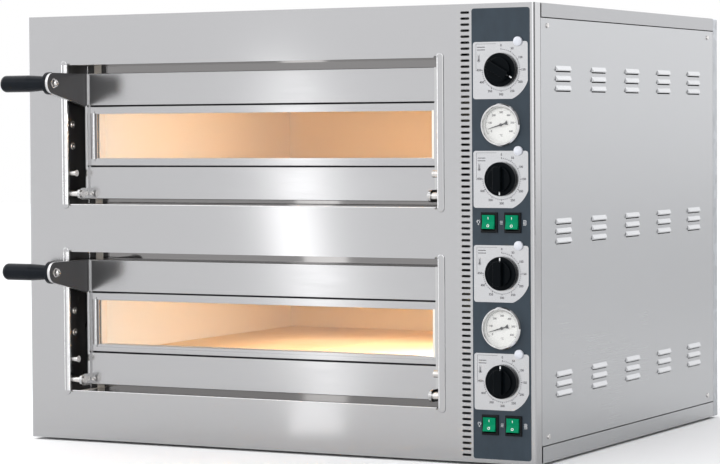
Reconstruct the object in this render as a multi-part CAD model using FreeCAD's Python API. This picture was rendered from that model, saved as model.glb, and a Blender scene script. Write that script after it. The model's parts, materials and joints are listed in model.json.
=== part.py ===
import FreeCAD, Part

# Twin-deck electric pizza oven for a countertop: two baking chambers one above the other, each behind a
# drop-down door with a glass window and a side lever, and one column of controls at the right.
# Lengths are millimetres. Everything is drawn from the lower left corner of the casing's front face:
# X runs to the right, Y runs back into the oven, Z runs up. Each shape moves at export, so that the
# origin is the middle of the footprint, on the surface that the feet stand on.

import math
import os

Vector = FreeCAD.Vector

# --- casing -------------------------------------------------------------------------------------
casing_w = 895.0
casing_d = 738.0
rear_rim = 22.0
rear_y = casing_d + rear_rim
rear_corner_r = 2.4
casing_h = 678.0
sheet = 1.5
thin_sheet = 1.2
corner_r = 4.0
fascia_return = 22.0
return_edge_r = 1.0
panel_gap = 0.4
strip_gap = 3.4
joint_gap = 1.6
cover_flange = 20.5
tray_flange = 24.4
rear_flange = 20.0
foot_r = 25.0
foot_h = 4.0
foot_inset = 75.0
hole_clear = 0.2
shank_r = 2.0
shank_len = 6.0
head_r = 3.6
head_t = 1.8
side_screw_y = (46.0, 711.0)
side_screw_z = (38.0, 645.0)
rear_screw_x = (40.0, 320.0, 600.0)
rear_screw_z = (40.0, 642.0)
rear_vent_x0 = 790.0
rear_vent_x1 = 860.0
rear_vent_z0 = 420.0
rear_vent_h = 4.0
rear_vent_pitch = 12.0
rear_vent_count = 14

# --- decks: heights are counted from the lower edge of each door opening --------------------------
deck_z = {"lower": 78.0, "upper": 377.0}
open_x0 = 77.0
open_x1 = 736.0
open_h = 223.0
lip_w = 12.0
lip_proud = 2.0
lip_overrun = 7.0
notch_r = 2.5
recess_d = 57.0
mouth_corner_r = 6.0
plate_screw_y = 12.0
plate_screw_z = (93.0, 127.5)
plate_screw_r = 5.8
plate_screw_t = 1.8
plate_socket_r = 2.4
plate_socket_t = 1.0
shank_behind = 3.0

# --- doors ----------------------------------------------------------------------------------------
door_x0 = 93.7
door_x1 = 724.0
door_z0 = 8.5
door_h = 201.0
door_front = 28.0
door_back = 54.0
end_plate = 4.0
end_plate_front = 24.3
panel_h = 51.0
groove = 2.4
groove_edge_r = 0.7
skin = 3.0
skin_step = 1.5
window_x0 = 112.0
window_x1 = 712.0
window_h = 71.0
rebate = 4.5
ledge_w = 9.0
ledge_t = 2.0
glass_t = 5.0
glass_lap = 6.0
liner_t = 6.0
corner_screw_r = 3.2
corner_screw_t = 1.2
corner_screw_inset = 4.5
pivot_y = 8.0
pivot_z = 17.0
pin_r = 4.0
running = 0.05
lug_r = 9.3
spacer_r = 6.0
end_play = 0.3
pin_cap_t = 1.8
pin_behind = 4.0
stud_r = 5.5
stud_shank_r = 2.5
stud_len = 11.0
stud_z = 50.0

# --- levers ---------------------------------------------------------------------------------------
arm_t = 5.0
arm_tip_r = 16.5
arm_reach = 64.5
arm_root_h = 52.5
arm_lap = 44.0
collar_r = 17.6
collar_t = 7.0
grip_r = 13.4
grip_neck_r = 11.0
grip_end_x = -2.7
grip_end_r = 8.0
grip_taper = 34.0
collar_bevel = 1.5
lever_bolt_r = 4.0
lever_bolt_len = 44.0
washer_r = 7.4
washer_t = 1.2
nut_corner_r = 6.6
nut_t = 3.8
nut_dome_r = 4.6

# --- baking chambers --------------------------------------------------------------------------------
chamber_x0 = 103.0
chamber_x1 = 718.0
chamber_back = 675.0
chamber_z0 = 20.0
chamber_z1 = 212.0
mouth_z0 = 56.0
mouth_z1 = 198.0
stone_top = 58.0
stone_t = 14.0
element_r = 4.0
element_pitch = 96.0
element_y = (120.0, 325.0, 530.0)
element_left_x = 180.0
element_z = (32.0, 204.0)
terminal_x = 780.0
wall_x = 760.0
wool_clear = 8.0
wool_gap = 0.5
rail_w = 7.0
rail_t = 3.0
post_w = 4.0
post_d = 20.0
lamp_y = 150.0
lamp_z = 150.0
lamp_r = 22.0
lamp_holder_behind = 14.0
terminal_w = 26.0
terminal_y = (640.0, 712.0)
terminal_z = (50.0, 86.0)
terminal_pitch = 13.0
terminal_ways = 5

# --- control column ---------------------------------------------------------------------------------
overlay_x0 = 794.0
overlay_x1 = 887.5
overlay_z0 = 6.0
overlay_z1 = 671.0
overlay_t = 0.8
plate_x0 = 796.5
plate_x1 = 885.0
plate_t = 0.8
plate_corner_r = 4.0
plate_arc_r = 46.0
control_x = 842.0
plate_spans = {
    "upper_ceiling": (537.5, 621.5),
    "upper_floor": (377.5, 461.5),
    "lower_ceiling": (238.5, 322.5),
    "lower_floor": (79.0, 163.0),
}
knob_turn = {"upper_ceiling": 120.0, "upper_floor": 180.0, "lower_ceiling": 0.0, "lower_floor": 0.0}
knob_above_plate = 42.5
knob_r = 25.0
knob_skirt = 7.0
knob_height = 19.0
knob_bar_w = 13.0
knob_clear = 0.8
knob_grip_r = 18.5
knob_shoulder = 8.0
pointer_w = 2.2
pointer_start = 18.9
pointer_end = 23.8
pointer_t = 0.5
spindle_r = 3.0
spindle_end = 39.0
bush_r = 5.0
thermostat_half = 20.0
thermostat_y = (12.0, 46.0)
thermostat_neck_r = 9.0
indicator_x = 869.5
indicator_r = 6.75
indicator_body_r = 5.0
indicator_proud = 4.2
indicator_depth = 22.0
indicator_dome_r = 12.0
gauge_z = {"upper": 499.5, "lower": 200.5}
gauge_r = 31.5
gauge_face_r = 28.5
gauge_can_r = 27.5
gauge_proud = 8.5
gauge_depth = 26.0
dial_back = -1.2
dial_front = -1.8
lens_back = -6.0
lens_front = -7.2
lens_seat = 0.6
staff_r = 0.85
staff_end = 3.5
needle_back = -3.0
needle_front = -3.6
needle_reach = 22.0
needle_tail = 11.0
needle_drop = 16.4
rocker_z = {"upper": 356.0, "lower": 57.0}
rocker_x = {"left": 822.0, "right": 860.0}
rocker_tilt = 5.0
rocker_half_w = 9.8
rocker_half_h = 10.3
rocker_pivot_y = 4.0
rocker_axle_r = 1.5
bezel_half_w = 13.5
bezel_half_h = 15.0
bezel_proud = 3.6
housing_half_w = 12.0
housing_half_h = 13.8
pocket_half_w = 10.2
pocket_half_h = 11.8
pocket_depth = 12.0
slot_x0 = 775.5
slot_x1 = 790.0
slot_h = 3.6
slot_pitch = 8.85
slot_count = 75
slot_z0 = 10.5

# --- louvres in the right side panel ----------------------------------------------------------------
louvre_y0 = 76.0
louvre_pitch_y = 135.5
louvre_columns = 5
louvre_rows = (95.0, 323.0, 550.0)
louvre_steps = 3
louvre_pitch_z = 14.6
louvre_w = 56.0
louvre_h = 9.5
louvre_proud = 3.0
louvre_lip = 1.6
louvre_wall = 0.8
louvre_draft = 2.4
louvre_slot = 1.8

# --- supply inlet -----------------------------------------------------------------------------------
gland_x = 840.0
gland_z = 62.0
gland_bore_r = 6.0
gland_reach = 16.0
gland_sleeve_r = 8.9
gland_hole_r = 9.0
gland_dome_r = 10.0
gland_nut_r = 12.5
gland_nut_t = 5.0
gland_hex_r = 13.0
gland_hex_t = 9.0

knob_back = overlay_t + plate_t + knob_clear
shift = Vector(
    -casing_w / 2,
    -(rear_y + gland_reach - arm_reach - collar_r) / 2,
    foot_h,
)


# === shape helpers ==================================================================================
def box(x0, x1, y0, y1, z0, z1):
    return Part.makeBox(x1 - x0, y1 - y0, z1 - z0, Vector(x0, y0, z0))


def rod_x(x0, x1, y, z, r):
    return Part.makeCylinder(r, x1 - x0, Vector(x0, y, z), Vector(1, 0, 0))


def rod_y(y0, y1, x, z, r):
    return Part.makeCylinder(r, y1 - y0, Vector(x, y0, z), Vector(0, 1, 0))


def rod_z(z0, z1, x, y, r):
    return Part.makeCylinder(r, z1 - z0, Vector(x, y, z0), Vector(0, 0, 1))


def prism(corners, along):
    """A straight prism on a flat outline of corner points, pushed along a vector."""
    outline = Part.makePolygon(corners + [corners[0]])
    return Part.Face(outline).extrude(along)


def hexagon(centre, u, v, corner_r, along):
    """A hexagonal bar on a flat outline in the plane of u and v, pushed along a vector."""
    turns = [math.radians(60 * side) for side in range(6)]
    corners = [centre + u * (corner_r * math.cos(turn)) + v * (corner_r * math.sin(turn)) for turn in turns]
    return prism(corners, along)


def wedge(x0, x1, y0, y1, z0, z1, draft, tip_h):
    """A block that narrows from a rectangle at x0 to a shorter and lower one at x1, flat underneath."""
    ends = []
    for x, inset, height in ((x0, 0.0, z1 - z0), (x1, draft, tip_h)):
        corners = [
            Vector(x, y0 + inset, z0),
            Vector(x, y1 - inset, z0),
            Vector(x, y1 - inset, z0 + height),
            Vector(x, y0 + inset, z0 + height),
        ]
        ends.append(Part.makePolygon(corners + [corners[0]]))
    return Part.makeLoft(ends, True, True)


def fillet_where(shape, radius, wanted):
    return shape.makeFillet(radius, [edge for edge in shape.Edges if wanted(edge)])


def runs_along(edge, axis):
    """True for a straight edge that is parallel to the axis."""
    if not isinstance(edge.Curve, Part.Line):
        return False
    direction = edge.Curve.Direction
    return abs(direction.dot(axis)) > 0.999


UPRIGHT = Vector(0, 0, 1)
ACROSS = Vector(1, 0, 0)
INWARD = Vector(0, 1, 0)


def rounded_plate(x0, x1, y0, y1, z0, z1, r):
    """A plate that faces the front, with its four corners rounded."""
    return fillet_where(box(x0, x1, y0, y1, z0, z1), r, lambda edge: runs_along(edge, INWARD))


def obround(x0, x1, y0, y1, z, height):
    """A flat slot with half-round ends, lying along X."""
    r = height / 2
    middle = box(x0 + r, x1 - r, y0, y1, z - r, z + r)
    return middle.multiFuse([rod_y(y0, y1, x0 + r, z, r), rod_y(y0, y1, x1 - r, z, r)])


def turned(outline, centre_x, centre_z):
    """A solid turned about the Y line through (centre_x, centre_z); outline lists (radius, y)."""
    corners = [Vector(centre_x + radius, y, centre_z) for radius, y in outline]
    face = Part.Face(Part.makePolygon(corners + [corners[0]]))
    return face.revolve(Vector(centre_x, 0, centre_z), INWARD, 360)


def knob_centre_z(name):
    return plate_spans[name][0] + knob_above_plate


# === openings that the fascia and the overlay share ==================================================
def control_cutouts(y0, y1):
    cuts = []
    for name in plate_spans:
        cuts.append(rod_y(y0, y1, control_x, knob_centre_z(name), bush_r + hole_clear))
        cuts.append(rod_y(y0, y1, indicator_x, plate_spans[name][1], indicator_body_r + hole_clear))
    for z in gauge_z.values():
        cuts.append(rod_y(y0, y1, control_x, z, gauge_can_r + hole_clear))
    half_w = housing_half_w + hole_clear
    half_h = housing_half_h + hole_clear
    for z in rocker_z.values():
        for x in rocker_x.values():
            cuts.append(box(x - half_w, x + half_w, y0, y1, z - half_h, z + half_h))
    return cuts


# === casing =========================================================================================
def front_fascia():
    outer = box(0, casing_w, 0, fascia_return, 0, casing_h)
    outer = fillet_where(
        outer, corner_r, lambda edge: runs_along(edge, UPRIGHT) and edge.BoundBox.YMax < 0.01
    )
    outer = fillet_where(
        outer,
        return_edge_r,
        lambda edge: runs_along(edge, UPRIGHT) and edge.BoundBox.YMin > fascia_return - 0.01,
    )
    inner = box(sheet, casing_w - sheet, sheet, fascia_return + 1, sheet, casing_h - sheet)
    inner = fillet_where(
        inner,
        corner_r - sheet,
        lambda edge: runs_along(edge, UPRIGHT) and edge.BoundBox.YMax < sheet + 0.01,
    )
    fascia = outer.cut(inner)
    fascia = fascia.multiFuse([lip(x, z) for z in deck_z.values() for x in (open_x0 - lip_w, open_x1)])
    cuts = control_cutouts(-1, sheet + 1)
    for z in deck_z.values():
        cuts.append(box(open_x0, open_x1, -lip_proud - 1, sheet + 1, z, z + open_h))
        for x in (open_x0 + notch_r, open_x1 - notch_r):
            for corner_z in (z, z + open_h):
                cuts.append(rod_y(-1, sheet + 1, x, corner_z, notch_r))
    for index in range(slot_count):
        z = slot_z0 + index * slot_pitch
        cuts.append(obround(slot_x0, slot_x1, -1, sheet + 1, z, slot_h))
    return fascia.cut(cuts)


def lip(x, deck):
    """The rounded bead that stands proud of the fascia beside a door opening."""
    r = lip_w / 2
    z0 = deck - lip_overrun + r
    z1 = deck + open_h + lip_overrun - r
    bead = box(x, x + lip_w, -lip_proud, 0, z0, z1)
    bead = bead.multiFuse([rod_y(-lip_proud, 0, x + r, z, r) for z in (z0, z1)]).removeSplitter()
    return fillet_where(bead, lip_proud * 0.8, lambda edge: edge.BoundBox.YMax < -lip_proud + 0.01)


def folded_tray(z0, z1, hollow_z0, hollow_z1):
    """A sheet tray that closes the casing; its side flanges stop short of the fascia's returns."""
    y0 = fascia_return + panel_gap
    tray = box(0, casing_w, y0, casing_d, z0, z1)
    hollow = box(thin_sheet, casing_w - thin_sheet, y0 - 1, casing_d - thin_sheet, hollow_z0, hollow_z1)
    flange_ends = box(-1, casing_w + 1, y0 - 1, fascia_return + strip_gap, hollow_z0, hollow_z1)
    return tray.cut([hollow, flange_ends])


def top_cover():
    z0 = casing_h - cover_flange
    return folded_tray(z0, casing_h, z0 - 1, casing_h - thin_sheet)


def base_tray():
    return folded_tray(0, tray_flange, thin_sheet, tray_flange + 1)


def side_panel_blank():
    """The right-hand side panel without louvres: a flat side and a flange folded in at the rear."""
    x0 = casing_w - rear_flange
    y0 = fascia_return + panel_gap
    z0 = tray_flange + joint_gap
    z1 = casing_h - cover_flange - joint_gap
    outer = box(x0, casing_w, y0, casing_d, z0, z1)
    panel = outer.cut(box(x0 - 1, casing_w - thin_sheet, y0 - 1, casing_d - thin_sheet, z0 - 1, z1 + 1))
    holes = [
        rod_x(casing_w - thin_sheet - 1, casing_w + 1, y, z, shank_r + hole_clear)
        for y, z in side_screw_places()
    ]
    return panel.cut(holes)


def side_screw_places():
    return [(y, z) for y in side_screw_y for z in side_screw_z]


def louvre(y, z):
    """A pressed hood, and the room inside it with the slot that its lower edge leaves in the sheet."""
    rooted = casing_w - thin_sheet + 0.2
    inside = casing_w - thin_sheet - 1
    crest = casing_w + louvre_proud
    y1 = y + louvre_w
    hood = wedge(rooted, crest, y, y1, z, z + louvre_h, louvre_draft, louvre_lip)
    room = wedge(
        inside,
        crest - louvre_wall,
        y + louvre_wall,
        y1 - louvre_wall,
        z,
        z + louvre_h - 2 * louvre_wall,
        louvre_draft,
        louvre_lip,
    )
    slot = box(inside, casing_w + 1, y + louvre_wall, y1 - louvre_wall, z - louvre_slot, z)
    return hood, room.fuse(slot)


def right_side_panel():
    hoods = []
    rooms = []
    for column in range(louvre_columns):
        for row in louvre_rows:
            for step in range(louvre_steps):
                hood, room = louvre(louvre_y0 + column * louvre_pitch_y, row + step * louvre_pitch_z)
                hoods.append(hood)
                rooms.append(room)
    return side_panel_blank().multiFuse(hoods).cut(rooms)


def left_side_panel():
    return side_panel_blank().mirror(Vector(casing_w / 2, 0, 0), ACROSS)


def rear_panel():
    """A shallow tray that closes the rear, with round edges, vents and the hole for the gland."""
    y0 = casing_d + panel_gap
    panel = box(0, casing_w, y0, rear_y, 0, casing_h)
    panel = fillet_where(panel, rear_corner_r, on_rear_edges)
    hollow = box(
        thin_sheet, casing_w - thin_sheet, y0 - 1, rear_y - thin_sheet, thin_sheet, casing_h - thin_sheet
    )
    y0 = rear_y - thin_sheet - 1
    y1 = rear_y + 1
    cuts = [hollow, rod_y(y0, y1, gland_x, gland_z, gland_hole_r)]
    for index in range(rear_vent_count):
        z = rear_vent_z0 + index * rear_vent_pitch
        cuts.append(obround(rear_vent_x0, rear_vent_x1, y0, y1, z, rear_vent_h))
    cuts += [rod_y(y0, y1, x, z, shank_r + hole_clear) for x, z in rear_screw_places()]
    return panel.cut(cuts)


def on_rear_edges(edge):
    """True for the upright and upper edges of the rear tray's outside."""
    bounds = edge.BoundBox
    if bounds.YMin > rear_y - 0.01:
        return runs_along(edge, UPRIGHT) or bounds.ZMin > casing_h - 0.01
    return runs_along(edge, INWARD) and bounds.ZMin > casing_h - 0.01


def rear_screw_places():
    return [(x, z) for x in rear_screw_x for z in rear_screw_z]


def screw(head, direction):
    """A small pan-head screw whose head rests at a point, with its shank along a direction."""
    shank = Part.makeCylinder(shank_r, shank_len, head, direction)
    cap = Part.makeCylinder(head_r, head_t, head, direction * -1)
    cap = fillet_where(
        cap,
        0.8,
        lambda edge: isinstance(edge.Curve, Part.Circle) and edge.Curve.Center.distanceToPoint(head) > 1,
    )
    return cap.fuse(shank)


def panel_screws():
    screws = []
    for y, z in side_screw_places():
        screws.append(screw(Vector(casing_w, y, z), Vector(-1, 0, 0)))
        screws.append(screw(Vector(0, y, z), Vector(1, 0, 0)))
    for x, z in rear_screw_places():
        screws.append(screw(Vector(x, rear_y, z), Vector(0, -1, 0)))
    return Part.makeCompound(screws)


def partition_wall():
    """The upright wall between the insulated chambers and the control compartment."""
    wall = box(
        wall_x,
        wall_x + thin_sheet,
        fascia_return + strip_gap + 1,
        casing_d - 3 * thin_sheet,
        thin_sheet,
        casing_h - thin_sheet,
    )
    holes = []
    for deck in deck_z.values():
        for y, z in element_leg_places(deck):
            holes.append(rod_x(wall_x - 1, wall_x + 3, y, z, element_r + wool_gap))
        holes.append(rod_x(wall_x - 1, wall_x + 3, lamp_y, deck + lamp_z, lamp_r + wool_gap))
    return wall.cut(holes)


def feet():
    places = [
        (x, y)
        for x in (foot_inset, casing_w - foot_inset)
        for y in (foot_inset, rear_y - foot_inset)
    ]
    pads = [rod_z(-foot_h, 0, x, y, foot_r) for x, y in places]
    return Part.makeCompound(
        [fillet_where(pad, 1.0, lambda edge: edge.BoundBox.ZMax < -foot_h + 0.01) for pad in pads]
    )


def cable_gland():
    """The supply cable's gland: a threaded sleeve through the rear panel and a hexagon outside it."""
    seat = rear_y
    inner_face = seat - thin_sheet
    tip = rear_y + gland_reach
    sleeve = rod_y(seat - 14, seat + 6, gland_x, gland_z, gland_sleeve_r)
    middle = Vector(gland_x, seat, gland_z)
    nut_outside = hexagon(middle, ACROSS, UPRIGHT, gland_hex_r, Vector(0, gland_hex_t, 0))
    dome = rod_y(seat + gland_hex_t, tip, gland_x, gland_z, gland_dome_r)
    dome = fillet_where(dome, 2.5, lambda edge: edge.BoundBox.YMin > tip - 0.01)
    nut = rod_y(inner_face - gland_nut_t, inner_face, gland_x, gland_z, gland_nut_r)
    gland = sleeve.multiFuse([nut_outside, dome, nut])
    return gland.cut(rod_y(seat - 15, tip + 1, gland_x, gland_z, gland_bore_r))


def terminal_block():
    x0 = wall_x + thin_sheet
    x1 = x0 + terminal_w
    block = box(x0, x1, *terminal_y, *terminal_z)
    middle_z = sum(terminal_z) / 2
    first_y = sum(terminal_y) / 2 - terminal_pitch * (terminal_ways - 1) / 2
    ways = [
        rod_x(x0 + 8, x1 + 1, first_y + terminal_pitch * way, middle_z, 4.0) for way in range(terminal_ways)
    ]
    return block.cut(ways)


# === door recesses ==================================================================================
def mouth_frames():
    """The polished frame at the back of each recess, with the chamber's mouth cut in it."""
    frames = []
    for deck in deck_z.values():
        low = deck - sheet
        high = deck + open_h + sheet
        back = box(open_x0 - sheet, open_x1 + sheet, recess_d, recess_d + sheet, low, high)
        floor = box(open_x0, open_x1, sheet, recess_d, low, deck)
        ceiling = box(open_x0, open_x1, sheet, recess_d, high - sheet, high)
        frame = back.multiFuse([floor, ceiling])
        mouth = rounded_plate(
            chamber_x0,
            chamber_x1,
            recess_d - 1,
            recess_d + 3,
            deck + mouth_z0,
            deck + mouth_z1,
            mouth_corner_r,
        )
        frames.append(frame.cut(mouth))
    return Part.makeCompound(frames)


def side_plate_screw_places(deck):
    return [(plate_screw_y, deck + z) for z in plate_screw_z]


def recess_side_plates():
    """The dark plates at both ends of each recess, which carry the hinge pins and the studs."""
    plates = []
    for deck in deck_z.values():
        for x in (open_x0 - sheet, open_x1):
            plate = box(x, x + sheet, sheet, recess_d, deck - sheet, deck + open_h + sheet)
            holes = [rod_x(x - 1, x + 3, pivot_y, deck + pivot_z, pin_r)]
            holes.append(rod_x(x - 1, x + 3, pivot_y, deck + stud_z, stud_shank_r))
            holes += [rod_x(x - 1, x + 3, y, z, shank_r) for y, z in side_plate_screw_places(deck)]
            plates.append(plate.cut(holes))
    return Part.makeCompound(plates)


def on_both_ends(left):
    """Pieces of the left ends of the recesses, with their mirror images at the right ends."""
    middle = Vector((open_x0 + open_x1) / 2, 0, 0)
    return Part.makeCompound(left + [piece.mirror(middle, ACROSS) for piece in left])


def hinge_pin(wall, lug, way, z):
    """One fixed pin with a spacer up to the door's lug; way is +1 pointing right and -1 pointing left."""
    root = wall - way * (sheet + pin_behind)
    cap_start = lug + way * (end_plate + end_play)
    cap_end = cap_start + way * pin_cap_t
    stretches = [
        (root, cap_end, pin_r),
        (wall, lug - way * end_play, spacer_r),
        (cap_start, cap_end, spacer_r),
    ]
    rods = [rod_x(min(start, end), max(start, end), pivot_y, z, r) for start, end, r in stretches]
    return rods[0].multiFuse(rods[1:])


def hinge_pins():
    """The pins of both doors; the door sits nearer to the right plate, so the spacers differ."""
    pins = []
    for deck in deck_z.values():
        pins.append(hinge_pin(open_x0, door_x0, 1, deck + pivot_z))
        pins.append(hinge_pin(open_x1, door_x1, -1, deck + pivot_z))
    return Part.makeCompound(pins)


def stop_studs():
    """Short studs on the recess plates that keep the open door's end plates central."""
    studs = []
    tip = open_x0 + stud_len
    for deck in deck_z.values():
        z = deck + stud_z
        head = rod_x(open_x0, tip, pivot_y, z, stud_r)
        head = fillet_where(head, 1.2, lambda edge: edge.BoundBox.XMin > tip - 0.01)
        head = head.cut(rod_x(tip - 2, tip + 1, pivot_y, z, 2.2))
        shank = rod_x(open_x0 - sheet - shank_behind, open_x0, pivot_y, z, stud_shank_r)
        studs.append(head.fuse(shank))
    return on_both_ends(studs)


def side_plate_screws():
    screws = []
    face = open_x0 + plate_screw_t
    for deck in deck_z.values():
        for y, z in side_plate_screw_places(deck):
            cap = rod_x(open_x0, face, y, z, plate_screw_r)
            cap = fillet_where(cap, 0.8, lambda edge: edge.BoundBox.XMin > face - 0.01)
            cap = cap.cut(rod_x(face - plate_socket_t, face + 1, y, z, plate_socket_r))
            screws.append(cap.fuse(rod_x(open_x0 - sheet - shank_behind, open_x0, y, z, shank_r)))
    return on_both_ends(screws)


# === baking chambers ================================================================================
def element_leg_places(deck):
    """Where the straight legs of a deck's heating elements cross an upright wall: (y, z)."""
    return [
        (y + leg * element_pitch, deck + level)
        for level in element_z
        for y in element_y
        for leg in (0, 1)
    ]


def chamber(deck):
    """A welded sheet box, open at the front, with the rails that carry the stones."""
    z0 = deck + chamber_z0
    z1 = deck + chamber_z1
    y0 = recess_d + sheet
    outer = box(
        chamber_x0 - sheet, chamber_x1 + sheet, y0, chamber_back + sheet, z0 - sheet, z1 + sheet
    )
    shell = outer.cut(box(chamber_x0, chamber_x1, y0 - 1, chamber_back, z0, z1))
    stone_z = deck + stone_top - stone_t
    middle = (chamber_x0 + chamber_x1) / 2
    rails = [
        box(chamber_x0, chamber_x0 + rail_w, y0, chamber_back, stone_z - rail_t, stone_z),
        box(chamber_x1 - rail_w, chamber_x1, y0, chamber_back, stone_z - rail_t, stone_z),
        box(middle - rail_w, middle + rail_w, y0, chamber_back, stone_z - rail_t, stone_z),
        box(middle - post_w / 2, middle + post_w / 2, chamber_back - post_d, chamber_back, z0, stone_z),
        box(middle - post_w / 2, middle + post_w / 2, y0, y0 + post_d, z0, stone_z),
    ]
    holes = [
        rod_x(chamber_x1 - rail_w - 2, chamber_x1 + 3, y, z, element_r + hole_clear)
        for y, z in element_leg_places(deck)
    ]
    holes.append(rod_x(chamber_x1 - 1, chamber_x1 + 3, lamp_y, deck + lamp_z, lamp_r + hole_clear))
    return shell.multiFuse(rails).cut(holes)


def baking_stones(deck):
    """Two refractory slabs side by side."""
    z1 = deck + stone_top
    y0 = recess_d + sheet + 1
    middle = (chamber_x0 + chamber_x1) / 2
    slabs = [
        box(chamber_x0 + 1, middle - 0.5, y0, chamber_back - 1, z1 - stone_t, z1),
        box(middle + 0.5, chamber_x1 - 1, y0, chamber_back - 1, z1 - stone_t, z1),
    ]
    return Part.makeCompound([slab.makeChamfer(0.8, slab.Edges) for slab in slabs])


def hairpin(y, z):
    """One sheathed element: two straight legs joined by a half ring at the left."""
    bend_r = element_pitch / 2
    legs = [rod_x(element_left_x, terminal_x, y + leg * element_pitch, z, element_r) for leg in (0, 1)]
    section = Part.Face(
        Part.Wire(Part.makeCircle(element_r, Vector(element_left_x, y, z), ACROSS))
    )
    bend = section.revolve(Vector(element_left_x, y + bend_r, z), UPRIGHT, -180)
    return bend.multiFuse(legs)


def elements(deck):
    return Part.makeCompound([hairpin(y, deck + level) for level in element_z for y in element_y])


def insulation():
    """Mineral wool packed round both chambers, behind the recesses and up to the partition wall."""
    wool = box(
        wool_clear,
        wall_x - wool_gap,
        recess_d + sheet + 1,
        casing_d - wool_clear,
        wool_clear,
        casing_h - wool_clear,
    )
    cuts = []
    for deck in deck_z.values():
        cuts.append(
            box(
                chamber_x0 - sheet - wool_gap,
                chamber_x1 + sheet + wool_gap,
                0,
                chamber_back + sheet + wool_gap,
                deck + chamber_z0 - sheet - wool_gap,
                deck + chamber_z1 + sheet + wool_gap,
            )
        )
        for y, z in element_leg_places(deck):
            cuts.append(rod_x(chamber_x1, wall_x + 1, y, z, element_r + wool_gap))
        cuts.append(rod_x(chamber_x1, wall_x + 1, lamp_y, deck + lamp_z, lamp_r + wool_gap))
    return wool.cut(cuts)


def chamber_lamps():
    """Each lamp: a domed glass in the chamber wall on a holder that reaches the compartment."""
    lamps = []
    for deck in deck_z.values():
        z = deck + lamp_z
        holder = rod_x(chamber_x1, wall_x + lamp_holder_behind, lamp_y, z, lamp_r)
        dome = Part.makeSphere(lamp_r * 1.2, Vector(chamber_x1 + lamp_r * 0.8, lamp_y, z))
        dome = dome.common(rod_x(chamber_x1 - lamp_r, chamber_x1 + 0.01, lamp_y, z, lamp_r))
        lamps.append(dome.fuse(holder))
    return Part.makeCompound(lamps)


# === doors ==========================================================================================
def door_shell(deck):
    """The front of the door: polished panels above and below a stepped frame round the window."""
    x0 = door_x0 + end_plate
    x1 = door_x1 - end_plate
    z0 = deck + door_z0
    z1 = z0 + door_h
    mid0 = z0 + panel_h
    mid1 = z1 - panel_h
    depth = door_back - liner_t
    shell = box(x0, x1, door_front, depth, z0, z1)
    shell = fillet_where(
        shell, 1.0, lambda edge: runs_along(edge, ACROSS) and edge.BoundBox.YMax < door_front + 0.01
    )
    shell = shell.cut(box(x0 + sheet, x1 - sheet, door_front + skin, depth + 1, z0 + sheet, z1 - sheet))
    window_z0 = z0 + (door_h - window_h) / 2
    window_z1 = window_z0 + window_h
    step_back = door_front + skin + ledge_t
    ledge = box(
        window_x0 - ledge_w,
        window_x1 + glass_lap,
        door_front + skin,
        step_back,
        window_z0 - ledge_w,
        window_z1 + ledge_w,
    )
    cuts = [
        box(x0 - 1, x1 + 1, door_front - 1, door_front + skin_step, mid0, mid1),
        box(x0 - 1, x1 + 1, door_front - 1, door_front + skin, mid0, mid0 + groove),
        box(x0 - 1, x1 + 1, door_front - 1, door_front + skin, mid1 - groove, mid1),
        box(
            window_x0 - rebate,
            window_x1 + rebate,
            door_front - 1,
            door_front + skin,
            window_z0 - rebate,
            window_z1 + rebate,
        ),
        box(window_x0, window_x1, door_front - 1, step_back + 1, window_z0, window_z1),
    ]
    shell = shell.fuse(ledge).cut(cuts)
    levels = (mid0, mid0 + groove, mid1 - groove, mid1)

    def beside_groove(edge):
        bounds = edge.BoundBox
        in_front = bounds.YMax < door_front + skin_step + 0.05
        return in_front and runs_along(edge, ACROSS) and min(abs(bounds.ZMin - z) for z in levels) < 0.05

    return fillet_where(shell, groove_edge_r, beside_groove)


def door_glass(deck):
    y0 = door_front + skin + ledge_t
    z0 = deck + door_z0 + (door_h - window_h) / 2
    pane = box(
        window_x0 - glass_lap,
        window_x1 + glass_lap,
        y0,
        y0 + glass_t,
        z0 - glass_lap,
        z0 + window_h + glass_lap,
    )
    return pane.makeChamfer(0.5, pane.Edges)


def door_liner(deck):
    """The rear of the door: a shallow tray whose window channel presses the pane forward."""
    x0 = door_x0 + end_plate
    x1 = door_x1 - end_plate
    z0 = deck + door_z0
    z1 = z0 + door_h
    y0 = door_back - liner_t
    pane_back = door_front + skin + ledge_t + glass_t
    liner = box(x0, x1, y0, door_back, z0, z1)
    liner = liner.cut(box(x0 + sheet, x1 - sheet, y0 - 1, door_back - sheet, z0 + sheet, z1 - sheet))
    window_z0 = z0 + (door_h - window_h) / 2
    window_z1 = window_z0 + window_h
    channel = box(
        window_x0 - sheet, window_x1 + sheet, pane_back, door_back, window_z0 - sheet, window_z1 + sheet
    )
    window = box(window_x0, window_x1, pane_back - 1, door_back + 1, window_z0, window_z1)
    return liner.fuse(channel).cut(window)


def end_plate_shape(x, deck):
    """One end plate of the door, with the hinge lug at its lower front corner."""
    z0 = deck + door_z0
    z1 = z0 + door_h
    z = deck + pivot_z
    plate = box(x, x + end_plate, end_plate_front, door_back, z0, z1)
    lug = box(x, x + end_plate, pivot_y, end_plate_front + 1, z - lug_r, z + lug_r)
    eye = rod_x(x, x + end_plate, pivot_y, z, lug_r)
    bore = rod_x(x - 1, x + end_plate + 1, pivot_y, z, pin_r + running)
    return plate.multiFuse([lug, eye]).removeSplitter().cut(bore)


def door_end_plates(deck):
    return Part.makeCompound([end_plate_shape(x, deck) for x in (door_x0, door_x1 - end_plate)])


def lever_centre_z(deck):
    return deck + door_z0 + door_h - arm_tip_r


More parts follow.
